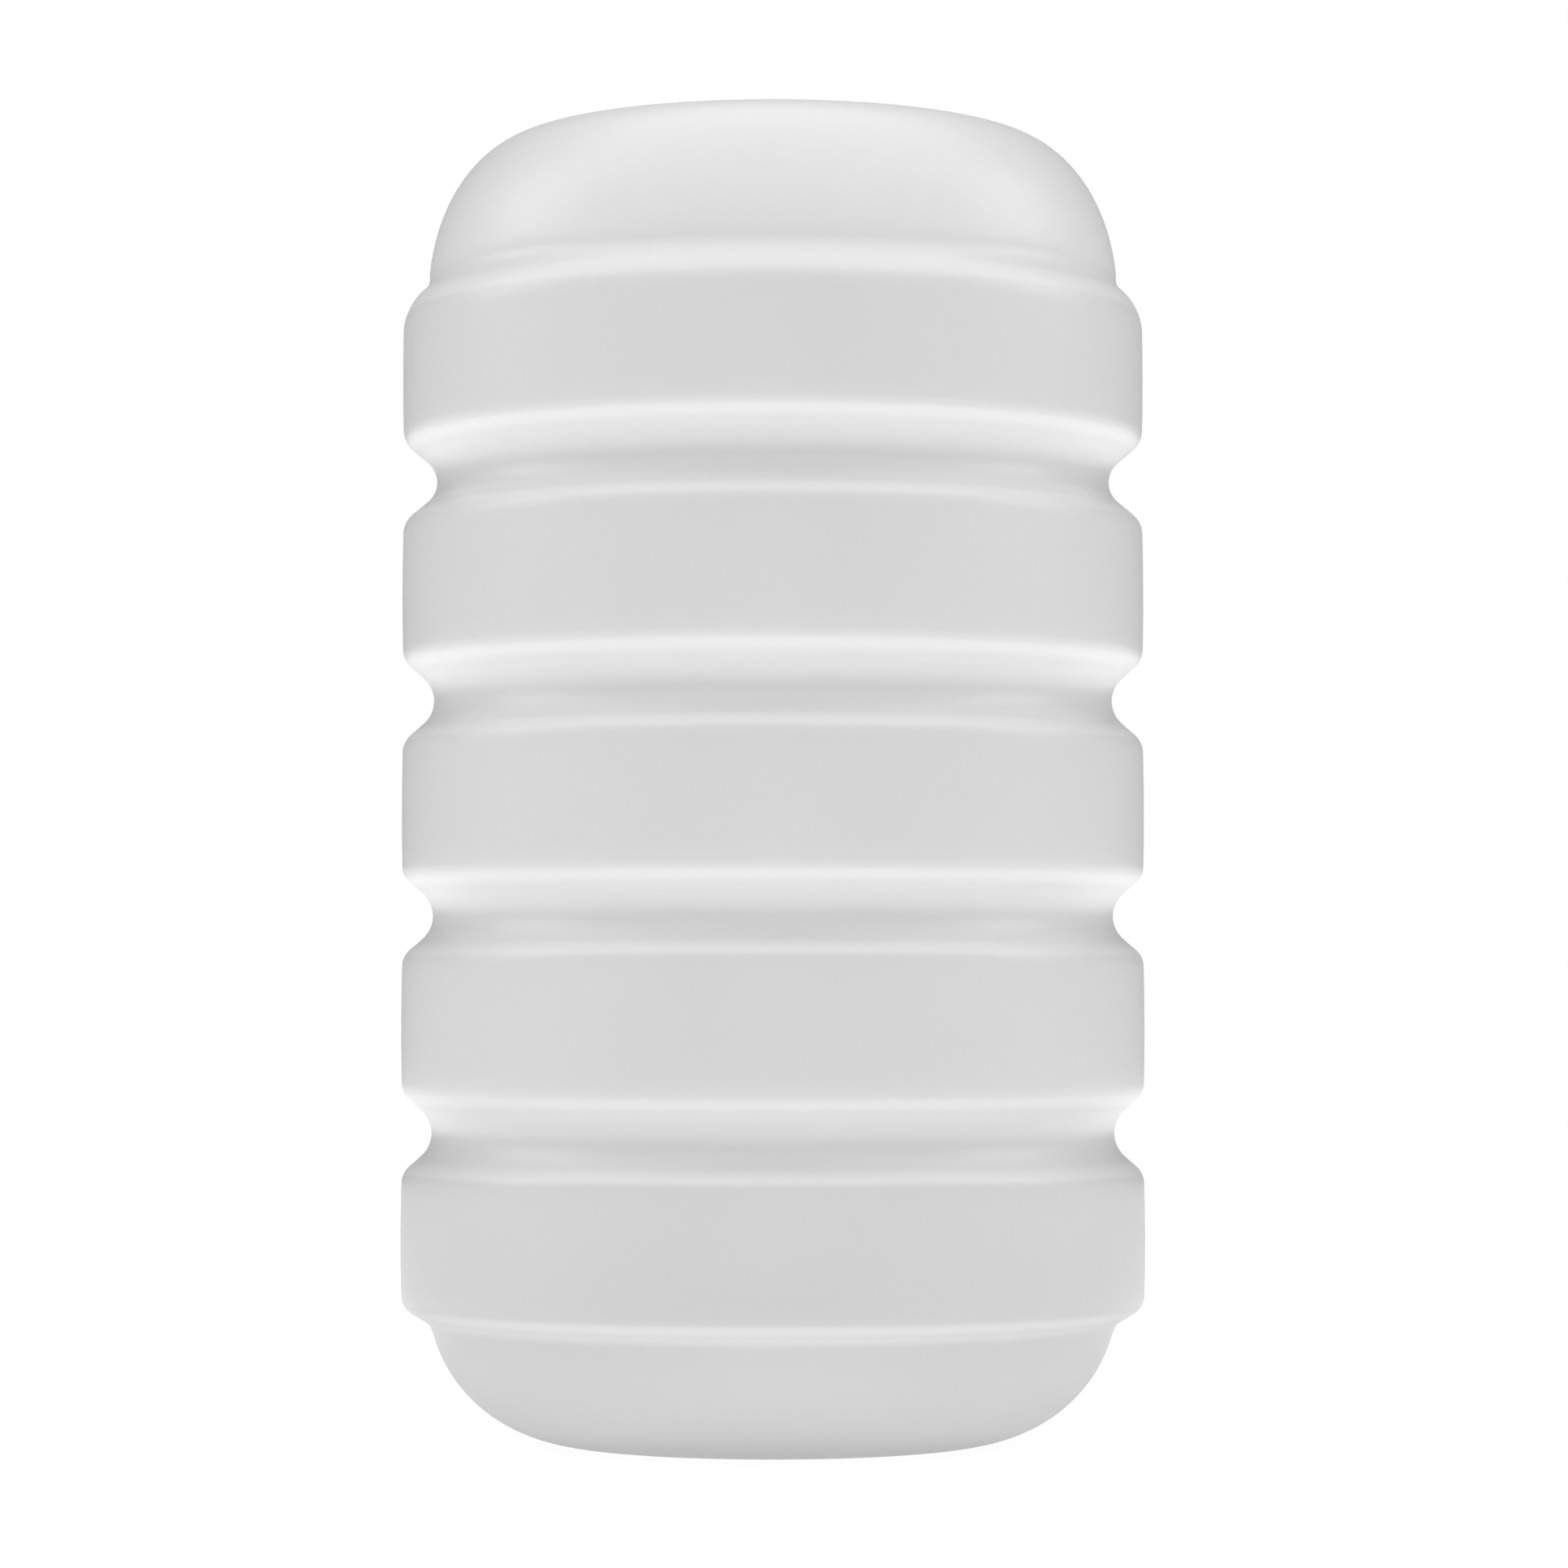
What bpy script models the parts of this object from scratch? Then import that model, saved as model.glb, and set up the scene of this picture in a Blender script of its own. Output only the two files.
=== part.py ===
"""A closed-head plastic chemical drum of about 60 litres, in metres, standing on the ground plane with +Z up.

The drum is one blow-moulded shell with five raised bands and a recessed well in its head. Two threaded necks
stand in the well. One takes a plain two-inch plug to pour or pump through, and the other takes a reducer plug
that carries a small vented plug in its middle. The front of the drum faces -Y, and the necks lie along X.
"""

import math

import bmesh
import bpy

# Drum shell.
HEIGHT = 0.6585
BAND_RADIUS = 0.187
WALL = 0.0034
BAND_PITCH = 0.1097
LOWEST_GROOVE_HEIGHT = 0.1563
GROOVE_COUNT = 4
GROOVE_DEPTH = 0.0155
GROOVE_FLOOR_RADIUS = 0.015
BAND_EDGE_RADIUS = 0.013
FLANK_ANGLE = 50.0

# Head: a flat crown ring round the well, and an elliptical shoulder down to the step of the top band.
CROWN_RADIUS = 0.1188
SHOULDER_WIDTH = 0.0554
SHOULDER_HEIGHT = 0.0811
TOP_STEP_HEIGHT = 0.5845
TOP_STEP_ANGLE = 50.0
TOP_STEP_RADIUS = 0.022

# Base: an elliptical turn from the step of the bottom band to a flat foot ring round a raised middle.
FOOT_RADIUS = 0.0983
FOOT_INNER_RADIUS = 0.072
BASE_TURN_WIDTH = 0.0748
BASE_TURN_HEIGHT = 0.070
BOTTOM_STEP_HEIGHT = 0.0601
BOTTOM_STEP_ANGLE = 60.0
BOTTOM_STEP_RADIUS = 0.008
PUSH_UP = 0.008

# Well in the head, below the crown.
WELL_DEPTH = 0.0345
WELL_RADIUS = 0.086
WELL_FILLET = 0.006

# Necks: each has a collar above the well's floor and one below it, which hold it in the shell.
NECK_OFFSET = 0.042
NECK_RADIUS = 0.0315
NECK_BORE = 0.0283
NECK_RISE = 0.018
NECK_DROP = 0.012
COLLAR_RADIUS = 0.0348
COLLAR_THICKNESS = 0.003

# Right-handed threads. A ridge is this share of its pitch wide at the root and at the crest, and its foot is
# sunk into the piece that carries it.
PITCH = 0.004
THREAD_DEPTH = 0.0021
THREAD_CLEARANCE = 0.0004
PLUG_TURNS = 3.5
NECK_TURNS = 3.75
THREAD_ROOT_WIDTH = 0.5
THREAD_CREST_WIDTH = 0.25
THREAD_SINK = 0.0004
THREAD_LEAD_IN = 0.0015

# Plugs and gaskets.
GAP = 0.0003
GASKET_THICKNESS = 0.0024
GASKET_WIDTH = 0.0034
HEAD_RADIUS = 0.0325
HEAD_THICKNESS = 0.006
SHANK_LENGTH = 0.0247
PLUG_WALL = 0.0026
LUG_COUNT = 4
LUG_WIDTH = 0.006
LUG_DEPTH = 0.0055
LUG_HEIGHT = 0.014
FIRST_LUG_ANGLE = 45.0
NOTCH_COUNT = 8
NOTCH_RADIUS = 0.0035
PLUG_EDGE_ROUND = 0.001

# Reducer: a bored boss in the middle of the plug, joined to its wall by ribs.
BOSS_RADIUS = 0.0165
BOSS_BORE = 0.0134
BOSS_DROP = 0.005
RIB_WIDTH = 0.004

# Vented plug in the reducer's boss, with its membrane and splash cap.
VENT_PITCH = 0.0025
VENT_THREAD_DEPTH = 0.0011
VENT_TURNS = 2.5
VENT_SHANK_RADIUS = 0.0118
VENT_SHANK_LENGTH = 0.013
VENT_FLANGE_RADIUS = 0.0165
VENT_FLANGE_THICKNESS = 0.0025
VENT_GASKET_THICKNESS = 0.0018
VENT_HEX_RADIUS = 0.0155
VENT_HEX_HEIGHT = 0.004
VENT_PASSAGE_RADIUS = 0.003
VENT_SEAT_RADIUS = 0.008
VENT_SEAT_DEPTH = 0.003
MEMBRANE_RADIUS = 0.0068
MEMBRANE_THICKNESS = 0.0005
CAP_RADIUS = 0.0077
CAP_THICKNESS = 0.0016
CAP_EDGE_ROUND = 0.0004

# Facets of a full turn.
SHELL_STEPS = 28
NECK_STEPS = 24
VENT_STEPS = 20
NOTCH_STEPS = 8
PASSAGE_STEPS = 10

# Distance within which the corners left by cuts and joins are one corner.
WELD = 0.00002

WELL_FLOOR = HEIGHT - WELL_DEPTH
NECK_TOP = WELL_FLOOR + NECK_RISE
NECK_BOTTOM = WELL_FLOOR - WALL - NECK_DROP
HEAD_BOTTOM = NECK_TOP + GASKET_THICKNESS + 2 * GAP
HEAD_TOP = HEAD_BOTTOM + HEAD_THICKNESS
PLUG_BOTTOM = HEAD_BOTTOM - SHANK_LENGTH
THREAD_START = NECK_TOP - THREAD_LEAD_IN - PITCH * NECK_TURNS
CORE_RADIUS = NECK_BORE - THREAD_DEPTH - THREAD_CLEARANCE
CUP_RADIUS = CORE_RADIUS - PLUG_WALL
CUP_FLOOR = PLUG_BOTTOM + PLUG_WALL
BOSS_TOP = HEAD_TOP - BOSS_DROP
BOSS_THREAD_START = BOSS_TOP - THREAD_LEAD_IN - VENT_PITCH * VENT_TURNS
POUR_X = NECK_OFFSET
REDUCER_X = -NECK_OFFSET

COLOURS = {
    "hdpe_shell": ((0.70, 0.70, 0.70, 1.0), 0.45),
    "hdpe_neck": ((0.72, 0.72, 0.70, 1.0), 0.40),
    "hdpe_plug": ((0.62, 0.63, 0.64, 1.0), 0.40),
    "vent_plastic": ((0.35, 0.37, 0.40, 1.0), 0.45),
    "epdm": ((0.02, 0.02, 0.02, 1.0), 0.75),
    "membrane": ((0.80, 0.80, 0.80, 1.0), 0.90),
}


def new_collection(name):
    collection = bpy.data.collections.new(name)
    bpy.context.scene.collection.children.link(collection)
    return collection


def new_material(name):
    colour, roughness = COLOURS[name]
    material = bpy.data.materials.new(name)
    material.use_nodes = True
    shader = material.node_tree.nodes["Principled BSDF"]
    shader.inputs["Base Color"].default_value = colour
    shader.inputs["Roughness"].default_value = roughness
    shader.inputs["Metallic"].default_value = 0.0
    return material


for old in list(bpy.data.objects):
    bpy.data.objects.remove(old)
PARTS = new_collection("chemical_drum")
TOOLS = new_collection("cutters")
MATERIALS = {name: new_material(name) for name in COLOURS}


def arc(centre, radii, start, end, steps):
    """Points of an arc, both ends included. The angles are in degrees from the outward direction, and the
    radii are one number, or a width and a height for an arc of an ellipse."""
    width, height = radii if isinstance(radii, tuple) else (radii, radii)
    angles = [math.radians(start + (end - start) * step / steps) for step in range(steps + 1)]
    return [(centre[0] + width * math.cos(a), centre[1] + height * math.sin(a)) for a in angles]


def object_of(name, mesh, collection, place=(0, 0, 0)):
    piece = bpy.data.objects.new(name, mesh)
    piece.location = place
    collection.objects.link(piece)
    if collection is TOOLS:
        piece.hide_render = True
        piece.display_type = "WIRE"
    return piece


def turned(name, outline, collection, place=(0, 0, 0), steps=NECK_STEPS, ring=False):
    """A turned piece, whose outline holds (radius, height) points that run down the outer side. A ring's
    outline comes back up its inner side and closes on itself."""
    mesh = bpy.data.meshes.new(name)
    edges = [(i, i + 1) for i in range(len(outline) - 1)]
    if ring:
        edges.append((len(outline) - 1, 0))
    mesh.from_pydata([(radius, 0, height) for radius, height in outline], edges, [])
    piece = object_of(name, mesh, collection, place)
    screw = piece.modifiers.new("turn", "SCREW")
    screw.steps = steps
    screw.render_steps = steps
    screw.use_merge_vertices = True
    screw.merge_threshold = 0.00001
    return piece


def boolean(piece, operation, tool):
    """Joins the tool to the piece, or cuts it from the piece."""
    modifier = piece.modifiers.new(operation.lower(), "BOOLEAN")
    modifier.operation = operation
    modifier.solver = "EXACT"
    modifier.object = tool


def bake(piece):
    """Applies the piece's modifiers, caps its open ends and welds corners that nearly coincide."""
    graph = bpy.context.evaluated_depsgraph_get()
    mesh = bpy.data.meshes.new_from_object(piece.evaluated_get(graph))
    piece.modifiers.clear()
    piece.data = mesh
    shape = bmesh.new()
    shape.from_mesh(mesh)
    bmesh.ops.holes_fill(shape, edges=[edge for edge in shape.edges if edge.is_boundary])
    bmesh.ops.remove_doubles(shape, verts=shape.verts, dist=WELD)
    bmesh.ops.dissolve_degenerate(shape, edges=shape.edges, dist=WELD)
    bmesh.ops.recalc_face_normals(shape, faces=shape.faces)
    shape.to_mesh(mesh)
    shape.free()
    return mesh


def finish(piece, material, sharp_angle=40):
    """Applies the modifiers, shades the round faces smooth and gives the piece its material."""
    mesh = bake(piece)
    mesh.shade_smooth()
    mesh.set_sharp_from_angle(angle=math.radians(sharp_angle))
    mesh.materials.clear()
    mesh.materials.append(MATERIALS[material])
    return piece


def box(name, size, centre, turn=0.0):
    """A box tool of the given size, turned about the vertical axis through its centre, in degrees."""
    mesh = bpy.data.meshes.new(name)
    shape = bmesh.new()
    bmesh.ops.create_cube(shape, size=1.0)
    bmesh.ops.scale(shape, vec=size, verts=shape.verts)
    shape.to_mesh(mesh)
    shape.free()
    piece = object_of(name, mesh, TOOLS, centre)
    piece.rotation_euler.z = math.radians(turn)
    return piece


def cylinder(name, radius, bottom, top, place, steps=NECK_STEPS, turn=0.0):
    """A cylinder tool on a vertical axis, or a prism where it has few steps."""
    mesh = bpy.data.meshes.new(name)
    shape = bmesh.new()
    bmesh.ops.create_cone(
        shape, cap_ends=True, segments=steps, radius1=radius, radius2=radius, depth=top - bottom
    )
    shape.to_mesh(mesh)
    shape.free()
    piece = object_of(name, mesh, TOOLS, (place[0], place[1], (top + bottom) / 2))
    piece.rotation_euler.z = math.radians(turn)
    return piece


def thread(name, foot, crest, start, pitch, turns, place, steps=NECK_STEPS):
    """A helical ridge tool that starts on +X, with its middle at the start height. The foot and the crest are
    radii: the crest is the greater of the two on a plug, and the smaller in a neck."""
    outward = 1 if crest > foot else -1
    root_half = outward * pitch * THREAD_ROOT_WIDTH / 2
    crest_half = outward * pitch * THREAD_CREST_WIDTH / 2
    outline = [
        (crest, start + crest_half),
        (crest, start - crest_half),
        (foot, start - root_half),
        (foot, start + root_half),
    ]
    ridge = turned(name, outline, TOOLS, place, steps=round(steps * turns), ring=True)
    screw = ridge.modifiers["turn"]
    screw.angle = 2 * math.pi * turns
    screw.screw_offset = pitch * turns
    screw.use_merge_vertices = False
    bake(ridge)
    return ridge


def groove_outline(height):
    """One groove, down from the band above it to the band below."""
    floor_centre = BAND_RADIUS - GROOVE_DEPTH + GROOVE_FLOOR_RADIUS
    edge_centre = BAND_RADIUS - BAND_EDGE_RADIUS
    turn = math.radians(FLANK_ANGLE)
    radii = GROOVE_FLOOR_RADIUS + BAND_EDGE_RADIUS
    flank = (GROOVE_DEPTH - radii * (1 - math.cos(turn))) / math.sin(turn)
    reach = radii * math.sin(turn) + flank * math.cos(turn)
    upper_edge = arc((edge_centre, height + reach), BAND_EDGE_RADIUS, 0, -FLANK_ANGLE, 1)
    floor = arc((floor_centre, height), GROOVE_FLOOR_RADIUS, 180 - FLANK_ANGLE, 180 + FLANK_ANGLE, 2)
    lower_edge = arc((edge_centre, height - reach), BAND_EDGE_RADIUS, FLANK_ANGLE, 0, 1)
    return upper_edge + floor + lower_edge


def step_arc(corner, angle, radius, direction):
    """The round edge between a step's flank, which leaves the corner at an angle, and the band's wall.
    The direction is 1 where the band lies below the step and -1 where it lies above."""
    turn = math.radians(angle)
    centre_in = BAND_RADIUS - radius
    flank_out = centre_in + radius * math.cos(turn) - corner[0]
    centre_height = corner[1] - direction * (flank_out / math.tan(turn) + radius * math.sin(turn))
    return arc((centre_in, centre_height), radius, direction * angle, 0, 2)


def shell_outline():
    """Outline of the shell's outer face, from the middle of the well's floor to the middle of the base."""
    well_floor = [(0.0, WELL_FLOOR)] + arc(
        (WELL_RADIUS - WELL_FILLET, WELL_FLOOR + WELL_FILLET), WELL_FILLET, -90, 0, 2
    )
    well_rim = arc((WELL_RADIUS + WELL_FILLET, HEIGHT - WELL_FILLET), WELL_FILLET, 180, 90, 2)
    shoulder_centre = (CROWN_RADIUS, HEIGHT - SHOULDER_HEIGHT)
    shoulder_end = math.degrees(math.asin((TOP_STEP_HEIGHT - shoulder_centre[1]) / SHOULDER_HEIGHT))
    shoulder = arc(shoulder_centre, (SHOULDER_WIDTH, SHOULDER_HEIGHT), 90, shoulder_end, 5)
    top_step = step_arc(shoulder[-1], TOP_STEP_ANGLE, TOP_STEP_RADIUS, 1)
    grooves = []
    for index in reversed(range(GROOVE_COUNT)):
        grooves += groove_outline(LOWEST_GROOVE_HEIGHT + index * BAND_PITCH)
    turn_start = math.degrees(math.asin((BOTTOM_STEP_HEIGHT - BASE_TURN_HEIGHT) / BASE_TURN_HEIGHT))
    base_turn = arc(
        (FOOT_RADIUS, BASE_TURN_HEIGHT), (BASE_TURN_WIDTH, BASE_TURN_HEIGHT), turn_start, -90, 5
    )
    bottom_step = step_arc(base_turn[0], BOTTOM_STEP_ANGLE, BOTTOM_STEP_RADIUS, -1)[::-1]
    push_up = [(FOOT_INNER_RADIUS, 0.0), (FOOT_INNER_RADIUS - PUSH_UP, PUSH_UP), (0.0, PUSH_UP)]
    return well_floor + well_rim + shoulder + top_step + grooves + bottom_step + base_turn + push_up


def make_drum_body():
    """The blow-moulded shell, open where the two necks pass through the well's floor."""
    body = turned("drum_body", shell_outline(), PARTS, steps=SHELL_STEPS)
    wall = body.modifiers.new("wall", "SOLIDIFY")
    wall.thickness = WALL
    wall.offset = -1
    wall.use_even_offset = True
    for neck_x in (POUR_X, REDUCER_X):
        hole = cylinder(
            "neck_hole", NECK_RADIUS + GAP, NECK_BOTTOM, WELL_FLOOR + COLLAR_THICKNESS, (neck_x, 0)
        )
        boolean(body, "DIFFERENCE", hole)
    finish(body, "hdpe_shell")


def make_neck(name, neck_x):
    """A moulded neck: a tube with its two collars, and the thread inside it."""
    collar_top = WELL_FLOOR + GAP + COLLAR_THICKNESS
    lower_top = WELL_FLOOR - WALL - GAP
    tube = [
        (NECK_RADIUS, NECK_TOP),
        (NECK_RADIUS, collar_top),
        (COLLAR_RADIUS, collar_top),
        (COLLAR_RADIUS, WELL_FLOOR + GAP),
        (NECK_RADIUS, WELL_FLOOR + GAP),
        (NECK_RADIUS, lower_top),
        (COLLAR_RADIUS, lower_top),
        (COLLAR_RADIUS, lower_top - COLLAR_THICKNESS),
        (NECK_RADIUS, lower_top - COLLAR_THICKNESS),
        (NECK_RADIUS, NECK_BOTTOM),
        (NECK_BORE, NECK_BOTTOM),
        (NECK_BORE, NECK_TOP),
    ]
    neck = turned(name, tube, PARTS, (neck_x, 0, 0), ring=True)
    foot = NECK_BORE + THREAD_SINK
    crest = NECK_BORE - THREAD_DEPTH
    boolean(
        neck,
        "UNION",
        thread(name + "_thread", foot, crest, THREAD_START, PITCH, NECK_TURNS, (neck_x, 0, 0)),
    )
    finish(neck, "hdpe_neck")


def make_gasket(name, place, inner, outer, bottom, thickness, steps=NECK_STEPS):
    """A flat rubber ring."""
    outline = [(outer, bottom + thickness), (outer, bottom), (inner, bottom), (inner, bottom + thickness)]
    finish(turned(name, outline, PARTS, place, steps=steps, ring=True), "epdm")


def plug_blank(name, plug_x):
    """What both two-inch plugs share: a cup with a notched head and the thread round its shank."""
    outline = [
        (0.0, CUP_FLOOR),
        (CUP_RADIUS, CUP_FLOOR),
        (CUP_RADIUS, HEAD_TOP),
        (HEAD_RADIUS - PLUG_EDGE_ROUND, HEAD_TOP),
        (HEAD_RADIUS, HEAD_TOP - PLUG_EDGE_ROUND),
        (HEAD_RADIUS, HEAD_BOTTOM),
        (CORE_RADIUS, HEAD_BOTTOM),
        (CORE_RADIUS, PLUG_BOTTOM + PLUG_EDGE_ROUND),
        (CORE_RADIUS - PLUG_EDGE_ROUND, PLUG_BOTTOM),
        (0.0, PLUG_BOTTOM),
    ]
    plug = turned(name, outline, PARTS, (plug_x, 0, 0))
    foot = CORE_RADIUS - THREAD_SINK
    crest = CORE_RADIUS + THREAD_DEPTH
    start = THREAD_START - PITCH / 2
    boolean(
        plug, "UNION", thread(name + "_thread", foot, crest, start, PITCH, PLUG_TURNS, (plug_x, 0, 0))
    )
    for index in range(NOTCH_COUNT):
        angle = 2 * math.pi * (index + 0.5) / NOTCH_COUNT
        reach = HEAD_RADIUS + NOTCH_RADIUS / 2
        place = (plug_x + reach * math.cos(angle), reach * math.sin(angle))
        notch = cylinder(
            name + "_notch",
            NOTCH_RADIUS,
            HEAD_BOTTOM - GAP,
            HEAD_TOP + GAP,
            place,
            NOTCH_STEPS,
            math.degrees(angle),
        )
        boolean(plug, "DIFFERENCE", notch)
    return plug


def make_pour_plug():
    """The plain two-inch plug, with four lugs inside its cup for a bung wrench."""
    plug = plug_blank("pour_plug", POUR_X)
    for index in range(LUG_COUNT):
        turn = FIRST_LUG_ANGLE + 360 * index / LUG_COUNT
        reach = CUP_RADIUS + PLUG_WALL / 2 - LUG_DEPTH / 2
        centre = (
            POUR_X + reach * math.cos(math.radians(turn)),
            reach * math.sin(math.radians(turn)),
            CUP_FLOOR + LUG_HEIGHT / 2 - PLUG_WALL / 4,
        )
        size = (LUG_DEPTH, LUG_WIDTH, LUG_HEIGHT + PLUG_WALL / 2)
        boolean(plug, "UNION", box("pour_lug", size, centre, turn))
    finish(plug, "hdpe_plug")


def make_reducer_plug():
    """The second two-inch plug, with a bored boss in its middle and four ribs that a wrench turns."""
    plug = plug_blank("reducer_plug", REDUCER_X)
    floor = CUP_FLOOR - PLUG_WALL / 2
    boolean(plug, "UNION", cylinder("boss", BOSS_RADIUS, floor, BOSS_TOP, (REDUCER_X, 0)))
    rib_reach = (CUP_RADIUS + BOSS_RADIUS) / 2
    for index in range(LUG_COUNT):
        turn = FIRST_LUG_ANGLE + 360 * index / LUG_COUNT
        centre = (
            REDUCER_X + rib_reach * math.cos(math.radians(turn)),
            rib_reach * math.sin(math.radians(turn)),
            floor + LUG_HEIGHT / 2,
        )
        size = (CUP_RADIUS - BOSS_RADIUS + PLUG_WALL, RIB_WIDTH, LUG_HEIGHT)
        boolean(plug, "UNION", box("reducer_rib", size, centre, turn))
    bore = cylinder("boss_bore", BOSS_BORE, PLUG_BOTTOM - GAP, HEAD_TOP, (REDUCER_X, 0), VENT_STEPS)
    boolean(plug, "DIFFERENCE", bore)
    foot = BOSS_BORE + THREAD_SINK
    crest = BOSS_BORE - VENT_THREAD_DEPTH
    ridge = thread(
        "boss_thread", foot, crest, BOSS_THREAD_START, VENT_PITCH, VENT_TURNS, (REDUCER_X, 0, 0), VENT_STEPS
    )
    boolean(plug, "UNION", ridge)
    finish(plug, "hdpe_plug")


def make_vent():
    """The small vented plug with its gasket, membrane and splash cap."""
    place = (REDUCER_X, 0, 0)
    flange_bottom = BOSS_TOP + VENT_GASKET_THICKNESS + 2 * GAP
    flange_top = flange_bottom + VENT_FLANGE_THICKNESS
    hex_top = flange_top + VENT_HEX_HEIGHT
    seat = hex_top - VENT_SEAT_DEPTH
    bottom = flange_bottom - VENT_SHANK_LENGTH
    outline = [
        (0.0, flange_top),
        (VENT_FLANGE_RADIUS, flange_top),
        (VENT_FLANGE_RADIUS, flange_bottom),
        (VENT_SHANK_RADIUS, flange_bottom),
        (VENT_SHANK_RADIUS, bottom),
        (0.0, bottom),
    ]
    plug = turned("vent_plug", outline, PARTS, place, steps=VENT_STEPS)
    head = cylinder(
        "vent_hex", VENT_HEX_RADIUS, (flange_bottom + flange_top) / 2, hex_top, place, steps=6, turn=30
    )
    boolean(plug, "UNION", head)
    foot = VENT_SHANK_RADIUS - THREAD_SINK
    crest = VENT_SHANK_RADIUS + VENT_THREAD_DEPTH
    start = BOSS_THREAD_START - VENT_PITCH / 2
    ridge = thread("vent_thread", foot, crest, start, VENT_PITCH, VENT_TURNS, place, VENT_STEPS)
    boolean(plug, "UNION", ridge)
    recess = cylinder("vent_seat", VENT_SEAT_RADIUS, seat, hex_top + GAP, place, VENT_STEPS)
    boolean(plug, "DIFFERENCE", recess)
    passage = cylinder("vent_passage", VENT_PASSAGE_RADIUS, bottom - GAP, hex_top, place, PASSAGE_STEPS, 9)
    boolean(plug, "DIFFERENCE", passage)
    finish(plug, "vent_plastic")
    make_gasket(
        "vent_gasket",
        place,
        VENT_SHANK_RADIUS + VENT_THREAD_DEPTH + GAP,
        VENT_FLANGE_RADIUS,
        BOSS_TOP + GAP,
        VENT_GASKET_THICKNESS,
        VENT_STEPS,
    )
    membrane_bottom = seat + GAP
    membrane_top = membrane_bottom + MEMBRANE_THICKNESS
    disc = [
        (0.0, membrane_top),
        (MEMBRANE_RADIUS, membrane_top),
        (MEMBRANE_RADIUS, membrane_bottom),
        (0.0, membrane_bottom),
    ]
    finish(turned("vent_membrane", disc, PARTS, place, steps=VENT_STEPS), "membrane")
    cap_bottom = membrane_top + GAP
    cap_top = cap_bottom + CAP_THICKNESS
    cap = [
        (0.0, cap_top),
        (CAP_RADIUS - CAP_EDGE_ROUND, cap_top),
        (CAP_RADIUS, cap_top - CAP_EDGE_ROUND),
        (CAP_RADIUS, cap_bottom),
        (0.0, cap_bottom),
    ]
    finish(turned("vent_cap", cap, PARTS, place, steps=VENT_STEPS), "vent_plastic")


make_drum_body()
make_neck("pour_neck", POUR_X)
make_neck("reducer_neck", REDUCER_X)
make_pour_plug()
make_reducer_plug()
for gasket, neck_x in (("pour_gasket", POUR_X), ("reducer_gasket", REDUCER_X)):
    make_gasket(
        gasket,
        (neck_x, 0, 0),
        NECK_RADIUS - GASKET_WIDTH,
        NECK_RADIUS,
        NECK_TOP + GAP,
        GASKET_THICKNESS,
    )
make_vent()
for tool in list(TOOLS.objects):
    bpy.data.objects.remove(tool)
bpy.data.collections.remove(TOOLS)
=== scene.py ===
import math

import bmesh
import bpy
from mathutils import Matrix, Vector


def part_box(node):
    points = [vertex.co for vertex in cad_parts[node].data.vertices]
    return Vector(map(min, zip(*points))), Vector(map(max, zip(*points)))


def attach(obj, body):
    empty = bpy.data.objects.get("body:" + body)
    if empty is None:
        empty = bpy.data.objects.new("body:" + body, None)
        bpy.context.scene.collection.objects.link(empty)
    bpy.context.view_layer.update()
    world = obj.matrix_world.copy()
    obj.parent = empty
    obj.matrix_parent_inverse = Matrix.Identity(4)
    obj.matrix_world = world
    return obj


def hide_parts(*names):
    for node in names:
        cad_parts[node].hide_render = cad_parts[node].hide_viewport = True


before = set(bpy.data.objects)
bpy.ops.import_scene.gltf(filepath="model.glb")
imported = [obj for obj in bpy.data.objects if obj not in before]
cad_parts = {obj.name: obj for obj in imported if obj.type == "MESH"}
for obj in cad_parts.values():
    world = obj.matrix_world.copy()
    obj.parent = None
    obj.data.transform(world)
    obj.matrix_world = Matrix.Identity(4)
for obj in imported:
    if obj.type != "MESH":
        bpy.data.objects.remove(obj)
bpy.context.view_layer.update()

# The camera. It stands 2.6 m in front of the drum, with its eye at the height of the second band from the
# floor, and looks slightly upwards through a long lens, so the head's flat top is out of sight.
EYE_DISTANCE = 2.622
EYE_HEIGHT = 0.220
LENS_MM = 119.25
UPWARD_TILT = math.radians(2.43)
SIDEWAYS_AIM = 0.0056

camera_data = bpy.data.cameras.new("studio_camera")
camera_data.sensor_width = 36.0
camera_data.lens = LENS_MM
camera = bpy.data.objects.new("studio_camera", camera_data)
bpy.context.collection.objects.link(camera)
camera.location = (0, -EYE_DISTANCE, EYE_HEIGHT)
sight = Vector((SIDEWAYS_AIM, EYE_DISTANCE, EYE_DISTANCE * math.tan(UPWARD_TILT)))
camera.rotation_euler = sight.to_track_quat("-Z", "Y").to_euler()
bpy.context.scene.camera = camera


# The studio. A white room with a wide soft light high in front, a low one behind the camera and one to each
# side. The drum stands on a white table lit from beneath, brightest in a ring round it and dimmer under it.
BACKDROP = 1.0
ROOM_LIGHT = 0.08
AIM_HEIGHT = 0.33
HIGH_LIGHT_SIZE = 4.4
HIGH_LIGHT_PLACE = (0, -0.6, 2.6)
HIGH_LIGHT_POWER = 67.0
FRONT_LIGHT_SIZE = 1.0
FRONT_LIGHT_PLACE = (0, -3.0, 0.45)
FRONT_LIGHT_POWER = 3.0
SIDE_LIGHT_SIZE = 1.6
SIDE_LIGHT_PLACE = (2.4, 0.1, 1.9)
SIDE_LIGHT_POWER = 14.0
FLOOR_RADIUS = 6.0
FLOOR_SEGMENTS = 96
FLOOR_GLOW = 1.38
FLOOR_GLOW_UNDER_DRUM = 0.2
FLOOR_GLOW_SEEN = 0.6
FLOOR_DIM_WITHIN = 0.2
FLOOR_BRIGHT_BEYOND = 0.6
FLOOR_GLOW_FALLS_FROM = 1.0
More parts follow.
